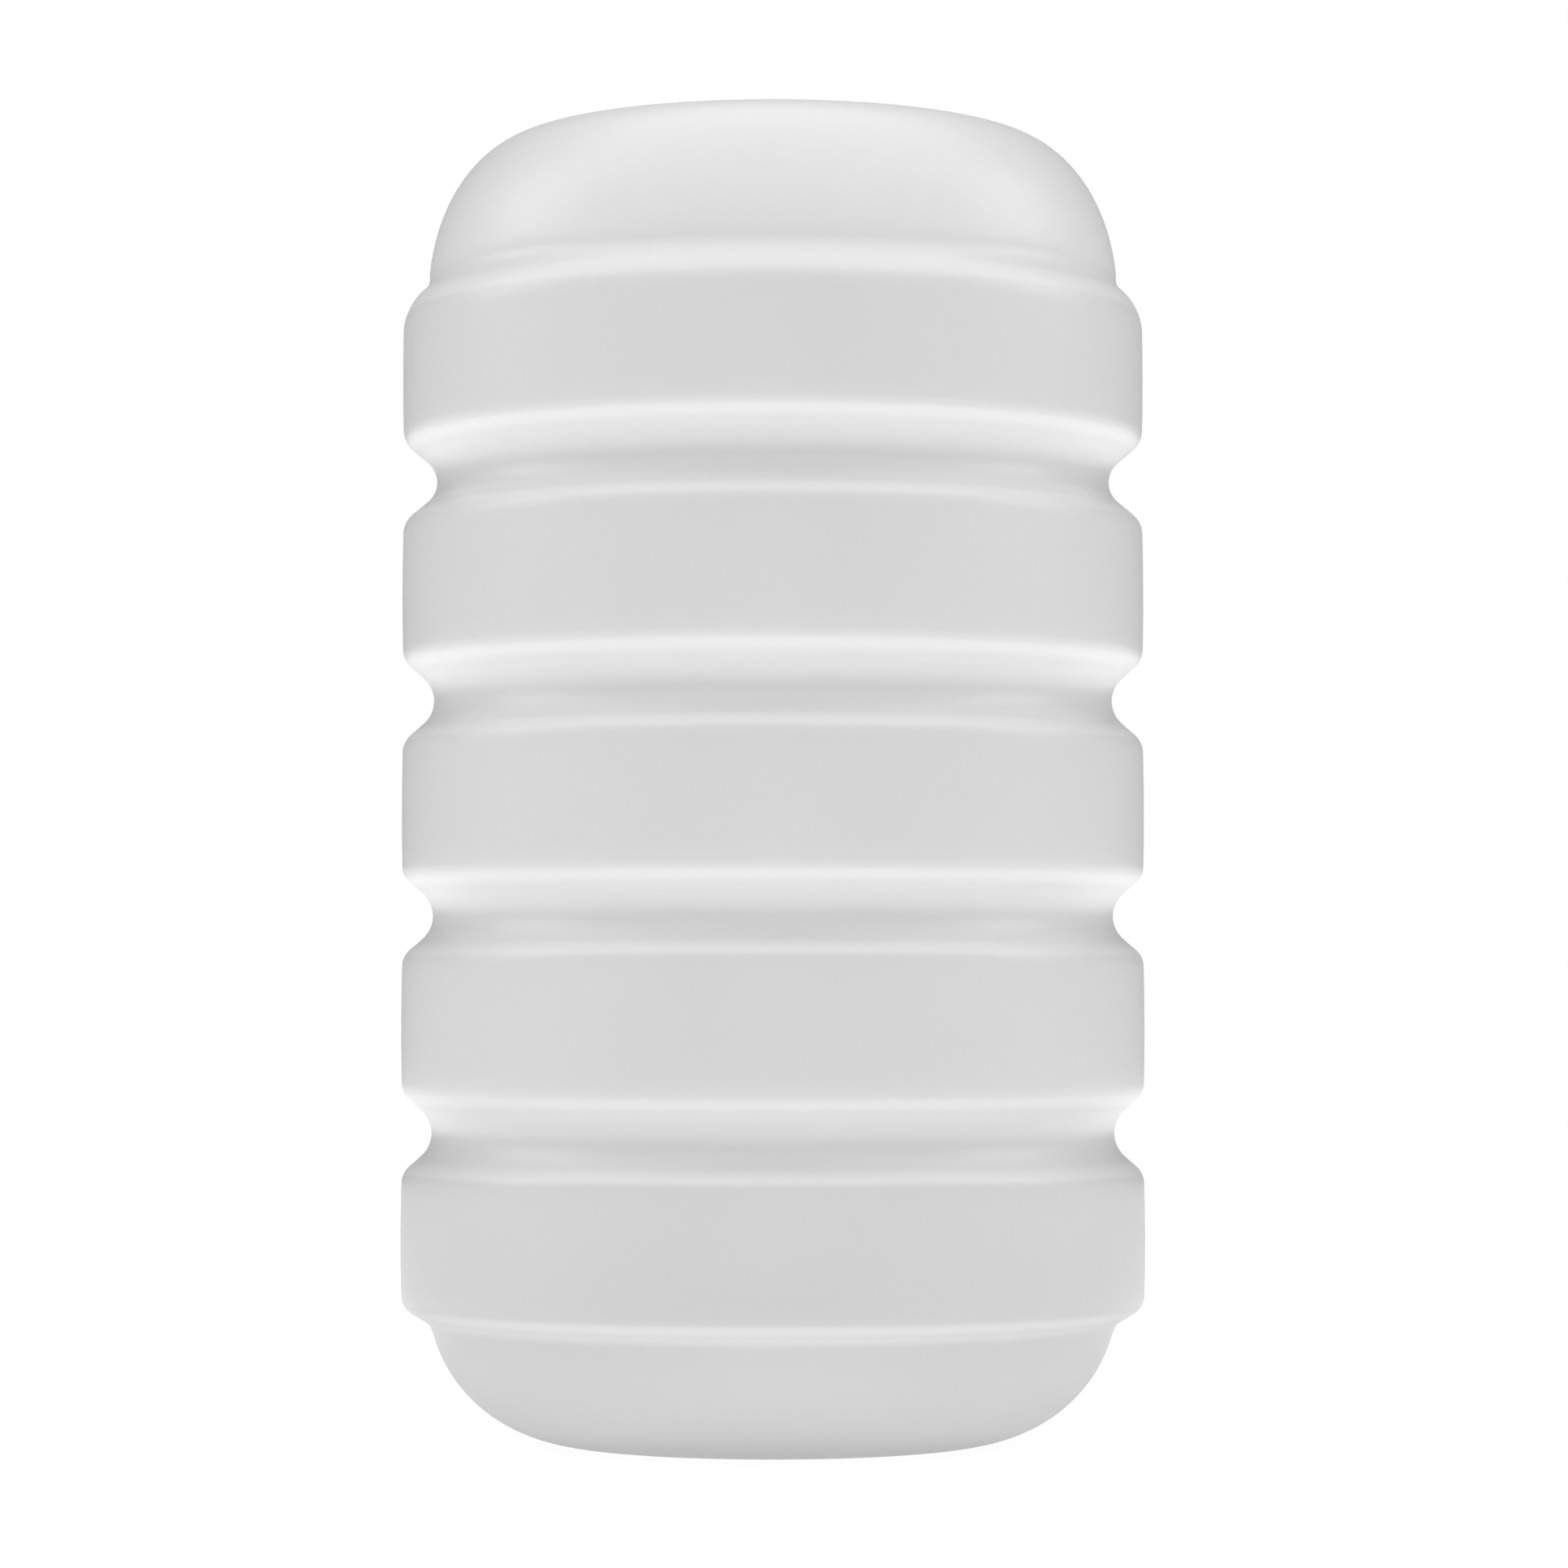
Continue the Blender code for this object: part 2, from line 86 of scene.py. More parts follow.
FLOOR_GLOW_FALLS_TO = 2.0


def linear_colour(code):
    """The linear RGBA of an sRGB hex code."""
    shares = [int(code[place:place + 2], 16) / 255 for place in (1, 3, 5)]
    bright = [share / 12.92 if share <= 0.04045 else ((share + 0.055) / 1.055) ** 2.4 for share in shares]
    return (*bright, 1.0)


def add_node(tree, kind, settings=None, **links):
    """Adds a node. The settings are its options and its inputs' values. Each link names an input, with
    underscores for spaces, or gives its number after an underscore, and its value is the output that feeds
    it."""
    node = tree.nodes.new(kind)
    for name, value in (settings or {}).items():
        if isinstance(name, str) and hasattr(node, name):
            setattr(node, name, value)
        else:
            node.inputs[name].default_value = value
    for name, output in links.items():
        socket = int(name[1:]) if name[1:].isdigit() else name.replace("_", " ")
        tree.links.new(output, node.inputs[socket])
    return node


def add_softbox(name, place, size, power):
    """Adds a round soft light that faces the middle of the drum."""
    light = bpy.data.lights.new(name, "AREA")
    light.shape = "DISK"
    light.size = size
    light.energy = power
    softbox = bpy.data.objects.new(name, light)
    softbox.location = place
    aim = Vector((0, 0, AIM_HEIGHT)) - Vector(place)
    softbox.rotation_euler = aim.to_track_quat("-Z", "Y").to_euler()
    bpy.context.collection.objects.link(softbox)


bpy.context.scene.view_settings.view_transform = "Standard"
world = bpy.data.worlds.new("white_studio")
world.use_nodes = True
bpy.context.scene.world = world
room = world.node_tree
room.nodes.clear()
seen = add_node(room, "ShaderNodeLightPath")
lit = add_node(room, "ShaderNodeBackground", {"Color": linear_colour("#fdfeff"), "Strength": ROOM_LIGHT})
shown = add_node(room, "ShaderNodeBackground", {"Color": linear_colour("#ffffff"), "Strength": BACKDROP})
lit_or_shown = add_node(
    room, "ShaderNodeMixShader", _0=seen.outputs["Is Camera Ray"], _1=lit.outputs[0], _2=shown.outputs[0]
)
add_node(room, "ShaderNodeOutputWorld", Surface=lit_or_shown.outputs[0])

add_softbox("high_softbox", HIGH_LIGHT_PLACE, HIGH_LIGHT_SIZE, HIGH_LIGHT_POWER)
add_softbox("front_softbox", FRONT_LIGHT_PLACE, FRONT_LIGHT_SIZE, FRONT_LIGHT_POWER)
for side, name in ((-1, "left_softbox"), (1, "right_softbox")):
    light_across, light_along, light_up = SIDE_LIGHT_PLACE
    add_softbox(name, (side * light_across, light_along, light_up), SIDE_LIGHT_SIZE, SIDE_LIGHT_POWER)

floor_shape = bmesh.new()
bmesh.ops.create_circle(floor_shape, cap_ends=True, radius=FLOOR_RADIUS, segments=FLOOR_SEGMENTS)
floor_mesh = bpy.data.meshes.new("floor")
floor_shape.to_mesh(floor_mesh)
floor_shape.free()
floor = bpy.data.objects.new("floor", floor_mesh)
bpy.context.collection.objects.link(floor)

# Matt opal acrylic, lit from beneath. The eye sees it brighter near the drum than the drum does, so it stays
# white there without washing out the drum's foot.
opal_acrylic = bpy.data.materials.new("matt_opal_acrylic_table")
opal_acrylic.use_nodes = True
table = opal_acrylic.node_tree
sheet = table.nodes["Principled BSDF"]
sheet.inputs["Base Color"].default_value = linear_colour("#fafafa")
sheet.inputs["Roughness"].default_value = 0.6
floor_place = add_node(table, "ShaderNodeTexCoord")
reach = add_node(table, "ShaderNodeVectorMath", {"operation": "LENGTH"}, _0=floor_place.outputs["Object"])
floor_seen = add_node(table, "ShaderNodeLightPath")
dimmest = add_node(
    table,
    "ShaderNodeMapRange",
    {"To Min": FLOOR_GLOW_UNDER_DRUM, "To Max": FLOOR_GLOW_SEEN},
    Value=floor_seen.outputs["Is Camera Ray"],
)
glow = add_node(
    table,
    "ShaderNodeMapRange",
    {"interpolation_type": "SMOOTHERSTEP", "From Min": FLOOR_DIM_WITHIN, "From Max": FLOOR_BRIGHT_BEYOND},
    Value=reach.outputs["Value"],
    To_Min=dimmest.outputs["Result"],
)
strength = add_node(
    table,
    "ShaderNodeMapRange",
    {
        "interpolation_type": "SMOOTHERSTEP",
        "From Min": FLOOR_GLOW_FALLS_FROM,
        "From Max": FLOOR_GLOW_FALLS_TO,
        "To Min": FLOOR_GLOW,
        "To Max": BACKDROP,
    },
    Value=reach.outputs["Value"],
)
backlight = add_node(table, "ShaderNodeEmission", Strength=strength.outputs["Result"])
lit_sheet = add_node(
    table, "ShaderNodeMixShader", _0=glow.outputs["Result"], _1=sheet.outputs[0], _2=backlight.outputs[0]
)
table.links.new(lit_sheet.outputs[0], table.nodes["Material Output"].inputs["Surface"])
floor_mesh.materials.append(opal_acrylic)


# The shell. One piece of natural high-density polyethylene, blown against a cold two-part mould, so it is
# milky and satin, a little uneven in thickness, and faintly lined at each side where the mould's halves met.
shell_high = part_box("drum_body")[1]
HEIGHT = shell_high[2]
BAND_RADIUS = shell_high[0]
WALL = 0.0034
# Each groove's height, half its mouth, and the radius at which its two flanks would meet, from the top down.
GROOVES = (
    (0.4829, 0.0210, 0.1613),
    (0.3725, 0.0208, 0.1627),
    (0.2642, 0.0200, 0.1629),
    (0.1555, 0.0200, 0.1634),
)
GROOVE_FLOOR_ROUND = 0.0186
BAND_EDGE_ROUND = 0.0045
# A band bulges slightly. It is drawn with a corner at its middle, which its round takes back inside.
BAND_BULGE = 0.0005
BAND_BULGE_ROUND = 0.022
BAND_BULGE_CORNER = 0.00018
BAND_EDGE_RADIUS = BAND_RADIUS - BAND_BULGE
BAND_MIDDLE_RADIUS = BAND_RADIUS + BAND_BULGE_CORNER
CROWN_RADIUS = 0.1165
SHOULDER = (0.0577, 0.0811)
SHOULDER_SHORT_BY = 5
TOP_STEP = (0.1740, 0.5808)
TOP_STEP_LEAD = (0.0005, 0.006)
TOP_STEP_FILLET = 0.0035
TOP_STEP_DROP = 0.0109
TOP_STEP_ROUND = 0.0103
FOOT_RADIUS = 0.0945
FOOT_LEAD = 0.002
BASE_TURN = (0.0786, 0.0735)
BASE_SHORT_BY = 4
BOTTOM_STEP = (0.17235, 0.0601)
BOTTOM_STEP_LEAD = (0.0008, 0.003)
BOTTOM_STEP_FILLET = 0.0022
BOTTOM_STEP_RISE = 0.0085
BOTTOM_STEP_ROUND = 0.0046
WELL_RADIUS = 0.086
WELL_FLOOR = HEIGHT - 0.0345
WELL_ROUND = 0.006
PUSH_UP_RADIUS = 0.068
PUSH_UP = 0.008
PUSH_UP_ROUND = 0.004
PINCH_OFF = (0.090, 0.0022, 0.0016)
PINCH_OFF_ROUND = 0.0003
NECK_HOLE_RADIUS = 0.0318
HOLE_OVERRUN = 0.02
PARTING_LINE_HEIGHT = 0.00008
PARTING_LINE_HALF_WIDTH = (0.0002, 0.0008)
# How much a painted highlight pales the wall, from that far inside a band's edge, at 0, to the band's face,
# at 1.
LIP_HIGHLIGHT_REACH = 0.011
LIP_HIGHLIGHT = ((0.0, 0.40), (0.25, 0.30), (0.60, 0.58), (0.78, 0.50), (0.93, 0.0), (1.0, 0.0))
SHELL_STEPS = 160
SHOULDER_STEPS = 28
BASE_STEPS = 26
ROUND_STEP = 0.0012
TURNING_STEPS = 96
TURNING_MERGE = 0.000002
JOINING_MERGE = 0.00001
BOX_EDGE_ROUND = 0.0004
POLYOLEFIN_IOR = 1.54
GRAIN_DEPTH_MM = 0.006
BLEED_SHARE = 0.3
BLEED_BY_COLOUR = (1.0, 0.95, 0.9)


def draw_run(shape, corners, closed=False):
    """Draws a run of a section in the XZ plane. A corner is (across, up, rounding), and its rounding is how
    far along its two sides the round reaches. Returns the run's two ends."""
    drawn = [shape.verts.new((across, 0, up)) for across, up, _ in corners]
    for near, far in zip(drawn, drawn[1:]):
        shape.edges.new((near, far))
    if closed:
        shape.edges.new((drawn[-1], drawn[0]))
    for rounding in sorted({corner[2] for corner in corners if corner[2]}):
        bmesh.ops.bevel(
            shape,
            geom=[vert for vert, corner in zip(drawn, corners) if corner[2] == rounding],
            offset=rounding,
            offset_type="OFFSET",
            segments=min(12, max(3, round(rounding / ROUND_STEP))),
            profile=0.5,
            affect="VERTICES",
            material=-1,
        )
    return drawn[0], drawn[-1]


def draw_arc(shape, centre, radii, start, end, segments):
    """Draws a run of a section as an arc of an ellipse. The angles are in degrees up from outwards. Returns
    the run's two ends."""
    before = set(shape.verts)
    across = centre[0] + radii[0] * math.cos(math.radians(start))
    up = centre[1] + radii[0] * math.sin(math.radians(start))
    first = shape.verts.new((across, 0, up))
    swung = bmesh.ops.spin(
        shape,
        geom=[first],
        cent=(centre[0], 0, centre[1]),
        axis=(0, -1, 0),
        angle=math.radians(end - start),
        steps=segments,
        use_merge=False,
        use_duplicate=False,
    )
    bmesh.ops.scale(
        shape,
        vec=(1, 1, radii[1] / radii[0]),
        space=Matrix.Translation((-centre[0], 0, -centre[1])),
        verts=[vert for vert in shape.verts if vert not in before],
    )
    return first, swung["geom_last"][0]


def turn_section(shape, steps):
    """Spins a section round the upright axis through the origin into a closed shape."""
    bmesh.ops.spin(
        shape,
        geom=shape.verts[:] + shape.edges[:],
        cent=(0, 0, 0),
        axis=(0, 0, 1),
        angle=2 * math.pi,
        steps=steps,
        use_merge=True,
        use_duplicate=False,
    )
    bmesh.ops.remove_doubles(shape, verts=shape.verts, dist=TURNING_MERGE)
    bmesh.ops.recalc_face_normals(shape, faces=shape.faces)


def add_cylinder(shape, radius, bottom, top, across, segments=TURNING_STEPS, turn=0.0):
    """Adds an upright cylinder to a shape, or a prism where it has few segments."""
    centre = Matrix.Translation((across, 0, (top + bottom) / 2))
    bmesh.ops.create_cone(
        shape,
        cap_ends=True,
        segments=segments,
        radius1=radius,
        radius2=radius,
        depth=top - bottom,
        matrix=centre @ Matrix.Rotation(turn, 4, "Z"),
    )


def add_box(shape, size, centre, turn=0.0, rounding=BOX_EDGE_ROUND):
    """Adds a box with rounded edges to a shape, turned about the upright axis through its centre."""
    turned = Matrix.Translation(centre) @ Matrix.Rotation(turn, 4, "Z")
    made = bmesh.ops.create_cube(shape, size=1.0, matrix=turned @ Matrix.Diagonal((*size, 1.0)))
    edges = {edge for vert in made["verts"] for edge in vert.link_edges}
    bmesh.ops.bevel(
        shape,
        geom=list(edges),
        offset=rounding,
        offset_type="OFFSET",
        segments=2,
        profile=0.5,
        affect="EDGES",
        material=-1,
    )


def combine(shape, tool, operation, wall=0.0):
    """Joins a tool's shape to a shape, or cuts it away, and returns the new shape. A wall first turns the
    shape into a shell of that thickness."""
    pair = []
    for name, part in (("blank", shape), ("tool", tool)):
        mesh = bpy.data.meshes.new(name)
        part.to_mesh(mesh)
        part.free()
        pair.append(bpy.data.objects.new(name, mesh))
        bpy.context.collection.objects.link(pair[-1])
    if wall:
        thicken = pair[0].modifiers.new("wall", "SOLIDIFY")
        thicken.thickness = wall
        thicken.offset = -1
    boolean = pair[0].modifiers.new("combine", "BOOLEAN")
    boolean.operation = operation
    boolean.object = pair[1]
    result = bmesh.new()
    result.from_object(pair[0], bpy.context.evaluated_depsgraph_get())
    for holder in pair:
        bpy.data.objects.remove(holder)
    bmesh.ops.remove_doubles(result, verts=result.verts, dist=JOINING_MERGE)
    return result


def moulded_plastic(name, colours, mottle_mm, wave_mm, wave_depth_mm, grain_mm, roughness, bleed_mm):
    """A satin moulded plastic. Its colour drifts between two, its face has long shallow waves under a fine
    grain, and light bleeds through it for a few millimetres. The grain of a real mould is about 0.2 mm, and
    is drawn a few times coarser, so that it shows."""
    material = bpy.data.materials.new(name)
    material.use_nodes = True
    tree = material.node_tree
    resin = tree.nodes["Principled BSDF"]
    place = add_node(tree, "ShaderNodeTexCoord").outputs["Object"]
    mottle = add_node(
        tree,
        "ShaderNodeTexNoise",
        {"Scale": 1000 / mottle_mm, "Detail": 2.0, "Roughness": 0.4},
        Vector=place,
    )
    milk = add_node(
        tree,
        "ShaderNodeMix",
        {"data_type": "RGBA", 6: linear_colour(colours[0]), 7: linear_colour(colours[1])},
        _0=mottle.outputs["Fac"],
    )
    swell = add_node(tree, "ShaderNodeTexNoise", {"Scale": 1000 / wave_mm, "Detail": 1.0}, Vector=place)
    waves = add_node(tree, "ShaderNodeBump", {"Distance": wave_depth_mm / 1000}, Height=swell.outputs["Fac"])
    grain = add_node(tree, "ShaderNodeTexNoise", {"Scale": 1000 / grain_mm, "Detail": 2.0}, Vector=place)
    satin = add_node(
        tree,
        "ShaderNodeBump",
        {"Distance": GRAIN_DEPTH_MM / 1000},
        Height=grain.outputs["Fac"],
        Normal=waves.outputs["Normal"],
    )
    tree.links.new(milk.outputs[2], resin.inputs["Base Color"])
    tree.links.new(satin.outputs["Normal"], resin.inputs["Normal"])
    resin.inputs["Roughness"].default_value = roughness
    resin.inputs["IOR"].default_value = POLYOLEFIN_IOR
    resin.inputs["Subsurface Weight"].default_value = BLEED_SHARE
    resin.inputs["Subsurface Radius"].default_value = BLEED_BY_COLOUR
    resin.inputs["Subsurface Scale"].default_value = bleed_mm / 1000
    return material


def make_piece(name, shape, material, crease=35):
    """Makes a finished shape an object at the origin, smooth except at edges that turn past the crease."""
    mesh = bpy.data.meshes.new(name)
    shape.to_mesh(mesh)
    shape.free()
    mesh.shade_smooth()
    mesh.set_sharp_from_angle(angle=math.radians(crease))
    mesh.materials.append(material)
    piece = bpy.data.objects.new(name, mesh)
    bpy.context.collection.objects.link(piece)
    return piece


shell = bmesh.new()
well = [
    (0.0, WELL_FLOOR, 0),
    (WELL_RADIUS, WELL_FLOOR, WELL_ROUND),
    (WELL_RADIUS, HEIGHT, WELL_ROUND),
    (CROWN_RADIUS - WELL_ROUND, HEIGHT, 0),
]
bands = [
    (TOP_STEP[0] - TOP_STEP_LEAD[0], TOP_STEP[1] + TOP_STEP_LEAD[1], 0),
    (*TOP_STEP, TOP_STEP_FILLET),
    (BAND_EDGE_RADIUS, TOP_STEP[1] - TOP_STEP_DROP, TOP_STEP_ROUND),
]
band_top = TOP_STEP[1] - TOP_STEP_DROP
for height, mouth, apex in GROOVES:
    bands += [
        (BAND_MIDDLE_RADIUS, (band_top + height + mouth) / 2, BAND_BULGE_ROUND),
        (BAND_EDGE_RADIUS, height + mouth, BAND_EDGE_ROUND),
        (apex, height, GROOVE_FLOOR_ROUND),
        (BAND_EDGE_RADIUS, height - mouth, BAND_EDGE_ROUND),
    ]
    band_top = height - mouth
last_band_bottom = BOTTOM_STEP[1] + BOTTOM_STEP_RISE
bands += [
    (BAND_MIDDLE_RADIUS, (band_top + last_band_bottom) / 2, BAND_BULGE_ROUND),
    (BAND_EDGE_RADIUS, last_band_bottom, BOTTOM_STEP_ROUND),
    (*BOTTOM_STEP, BOTTOM_STEP_FILLET),
    (BOTTOM_STEP[0] - BOTTOM_STEP_LEAD[0], BOTTOM_STEP[1] - BOTTOM_STEP_LEAD[1], 0),
]
base = [
    (FOOT_RADIUS - FOOT_LEAD, 0.0, 0),
    (PUSH_UP_RADIUS + PUSH_UP_ROUND, 0.0, PUSH_UP_ROUND),
    (PUSH_UP_RADIUS - PUSH_UP_ROUND, PUSH_UP, PUSH_UP_ROUND),
    (0.0, PUSH_UP, 0),
]
shoulder_centre = (CROWN_RADIUS, HEIGHT - SHOULDER[1])
shoulder_end = math.degrees(math.asin((TOP_STEP[1] - shoulder_centre[1]) / SHOULDER[1])) + SHOULDER_SHORT_BY
base_centre = (FOOT_RADIUS, BASE_TURN[1])
base_start = math.degrees(math.asin((BOTTOM_STEP[1] - base_centre[1]) / BASE_TURN[1])) - BASE_SHORT_BY
runs = [
    draw_run(shell, well),
    draw_arc(shell, shoulder_centre, SHOULDER, 90, shoulder_end, SHOULDER_STEPS),
    draw_run(shell, bands),
    draw_arc(shell, base_centre, BASE_TURN, base_start, -90, BASE_STEPS),
    draw_run(shell, base),
]
for run, next_run in zip(runs, runs[1:]):
    shell.edges.new((run[1], next_run[0]))
turn_section(shell, SHELL_STEPS)

holes = bmesh.new()
neck_places = {}
for name in ("pour_neck", "reducer_neck"):
    low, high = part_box(name)
    neck_places[name] = (low[0] + high[0]) / 2
    add_cylinder(
        holes, NECK_HOLE_RADIUS, WELL_FLOOR - HOLE_OVERRUN, WELL_FLOOR + HOLE_OVERRUN, neck_places[name]
    )
shell = combine(shell, holes, "DIFFERENCE", WALL)
pinch_off = bmesh.new()
add_box(pinch_off, PINCH_OFF, (0, 0, PUSH_UP), rounding=PINCH_OFF_ROUND)
shell = combine(shell, pinch_off, "UNION")

# Natural high-density polyethylene, blow-moulded: milky and satin, with broad faint clouding and slow waves
# from the parison. A painted highlight makes it paler along the bands' lips and in from them.
blown_hdpe = moulded_plastic(
    "blow_moulded_natural_hdpe",
    ("#e6e5e5", "#eae9ea"),
    mottle_mm=90,
    wave_mm=5.0,
    wave_depth_mm=0.03,
    grain_mm=0.9,
    roughness=0.38,
    bleed_mm=6.0,
)
blown = blown_hdpe.node_tree
resin = blown.nodes["Principled BSDF"]
shell_place = add_node(blown, "ShaderNodeTexCoord").outputs["Object"]
flat_place = add_node(blown, "ShaderNodeVectorMath", {"operation": "MULTIPLY", 1: (1, 1, 0)}, _0=shell_place)
radius = add_node(blown, "ShaderNodeVectorMath", {"operation": "LENGTH"}, _0=flat_place.outputs["Vector"])
# Painted highlight: by radius, the wall's colour is mixed towards near white along each band's lip, in place
# of light caught there.
across_edge = add_node(
    blown,
    "ShaderNodeMapRange",
    {"From Min": BAND_EDGE_RADIUS - LIP_HIGHLIGHT_REACH, "From Max": BAND_RADIUS},
    Value=radius.outputs["Value"],
)
lip_highlight = add_node(blown, "ShaderNodeFloatCurve", Value=across_edge.outputs["Result"])
lip_highlight_curve = lip_highlight.mapping.curves[0]
lip_highlight_curve.points[0].location = LIP_HIGHLIGHT[0]
lip_highlight_curve.points[-1].location = LIP_HIGHLIGHT[-1]
for share, amount in LIP_HIGHLIGHT[1:-1]:
    lip_highlight_curve.points.new(share, amount)
lip_highlight.mapping.update()
paler = add_node(
    blown,
    "ShaderNodeMix",
    {"data_type": "RGBA", 7: linear_colour("#fdfcfb")},
    _0=lip_highlight.outputs["Value"],
    _6=resin.inputs["Base Color"].links[0].from_socket,
)
apart = add_node(blown, "ShaderNodeSeparateXYZ", Vector=shell_place)
from_joint = add_node(blown, "ShaderNodeMath", {"operation": "ABSOLUTE"}, _0=apart.outputs["Y"])
witness = add_node(
    blown,
    "ShaderNodeMapRange",
    {
        "interpolation_type": "SMOOTHSTEP",
        "From Min": PARTING_LINE_HALF_WIDTH[0],
        "From Max": PARTING_LINE_HALF_WIDTH[1],
        "To Min": 1,
        "To Max": 0,
    },
    Value=from_joint.outputs["Value"],
)
parting_line = add_node(
    blown,
    "ShaderNodeBump",
    {"Distance": PARTING_LINE_HEIGHT},
    Height=witness.outputs["Result"],
    Normal=resin.inputs["Normal"].links[0].from_socket,
)
blown.links.new(paler.outputs[2], resin.inputs["Base Color"])
blown.links.new(parting_line.outputs["Normal"], resin.inputs["Normal"])
drum = make_piece("drum_shell", shell, blown_hdpe)
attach(drum, "drum")
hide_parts("drum_body")


# The necks. Two injection-moulded tubes of the same resin, each held in the well's floor by a collar above
# it and one below, with a coarse right-handed thread inside for a two-inch plug.
NECK_RADIUS = 0.0315
NECK_BORE = 0.0283
NECK_TOP = WELL_FLOOR + 0.018
NECK_BOTTOM = WELL_FLOOR - WALL - 0.012
COLLAR_RADIUS = 0.0348
COLLAR_THICKNESS = 0.003
COLLAR_GAP = 0.0003
UPPER_COLLAR_BOTTOM = WELL_FLOOR + COLLAR_GAP
LOWER_COLLAR_TOP = WELL_FLOOR - WALL - COLLAR_GAP
NECK_EDGE_ROUND = 0.0008
COLLAR_EDGE_ROUND = 0.0006
PITCH = 0.004
THREAD_DEPTH = 0.0021
THREAD_SINK = 0.0004
THREAD_RUN_OUT = 0.12
THREAD_BELOW_RIM = 0.0015
NECK_TURNS = 3.75
NECK_THREAD_START = NECK_TOP - THREAD_BELOW_RIM - PITCH * NECK_TURNS


def turned_shape(corners, across=0.0, closed=False):
    """A shape turned from one run, about the upright axis that stands that far along X."""
    shape = bmesh.new()
    draw_run(shape, corners, closed)
    turn_section(shape, TURNING_STEPS)
    bmesh.ops.translate(shape, vec=(across, 0, 0), verts=shape.verts)
    return shape


def thread_shape(foot, crest, start, pitch, turns, across):
    """A right-handed ridge round an upright axis. Its foot is sunk in the wall that carries it, and its two
    ends run out into that wall."""
    shape = bmesh.new()
    section = [
        (crest, start + pitch / 8),
        (crest, start - pitch / 8),
        (foot, start - pitch / 4),
        (foot, start + pitch / 4),
    ]
    first = [shape.verts.new((radius, 0, up)) for radius, up in section]
    edges = [shape.edges.new((near, far)) for near, far in zip(first, first[1:] + first[:1])]
    spun = bmesh.ops.spin(
        shape,
        geom=first + edges,
        cent=(0, 0, 0),
        axis=(0, 0, 1),
        dvec=(0, 0, pitch / TURNING_STEPS),
        angle=2 * math.pi * turns,
        steps=round(TURNING_STEPS * turns),
        use_merge=False,
        use_duplicate=False,
    )
    last = [part for part in spun["geom_last"] if isinstance(part, bmesh.types.BMVert)]
    run_out = (foot + (crest - foot) * THREAD_RUN_OUT) / crest
    for vert in first + last:
        if abs(vert.co.xy.length - crest) < THREAD_SINK / 4:
            bmesh.ops.scale(shape, vec=(run_out, run_out, 1), verts=[vert])
    bmesh.ops.holes_fill(shape, edges=[edge for edge in shape.edges if edge.is_boundary])
    bmesh.ops.recalc_face_normals(shape, faces=shape.faces)
    bmesh.ops.translate(shape, vec=(across, 0, 0), verts=shape.verts)
    return shape


# The same resin, injection-moulded against polished steel: as pale as the blown shell and a little glossier.
neck_hdpe = moulded_plastic(
    "injection_moulded_neck_hdpe",
    ("#ebebe8", "#efeeec"),
    mottle_mm=25,
    wave_mm=3.0,
    wave_depth_mm=0.008,
    grain_mm=0.5,
    roughness=0.34,
    bleed_mm=4.0,
)
neck_section = [
    (NECK_RADIUS, NECK_TOP, NECK_EDGE_ROUND),
    (NECK_RADIUS, UPPER_COLLAR_BOTTOM + COLLAR_THICKNESS, COLLAR_EDGE_ROUND),
    (COLLAR_RADIUS, UPPER_COLLAR_BOTTOM + COLLAR_THICKNESS, COLLAR_EDGE_ROUND),
    (COLLAR_RADIUS, UPPER_COLLAR_BOTTOM, 0),
    (NECK_RADIUS, UPPER_COLLAR_BOTTOM, 0),
    (NECK_RADIUS, LOWER_COLLAR_TOP, 0),
    (COLLAR_RADIUS, LOWER_COLLAR_TOP, 0),
    (COLLAR_RADIUS, LOWER_COLLAR_TOP - COLLAR_THICKNESS, COLLAR_EDGE_ROUND),
    (NECK_RADIUS, LOWER_COLLAR_TOP - COLLAR_THICKNESS, COLLAR_EDGE_ROUND),
    (NECK_RADIUS, NECK_BOTTOM, NECK_EDGE_ROUND),
    (NECK_BORE, NECK_BOTTOM, NECK_EDGE_ROUND),
    (NECK_BORE, NECK_TOP, NECK_EDGE_ROUND),
]
for name, across in neck_places.items():
    neck_thread = thread_shape(
        NECK_BORE + THREAD_SINK, NECK_BORE - THREAD_DEPTH, NECK_THREAD_START, PITCH, NECK_TURNS, across
    )
    tube = combine(turned_shape(neck_section, across, closed=True), neck_thread, "UNION")
    neck = make_piece(name + "_moulding", tube, neck_hdpe)
    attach(neck, "drum")
    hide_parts(name)


# The two large gaskets. Flat black rings moulded from EPDM rubber, matt and a little dusty, that sit on the
# necks' rims and rise with their plugs.
GASKET_THICKNESS = 0.0024
GASKET_BORE = 0.0281
GASKET_EDGE_ROUND = 0.0005
DUST_MM = 7.0
RUBBER_GRAIN_MM = 0.6
RUBBER_GRAIN_DEPTH_MM = 0.02

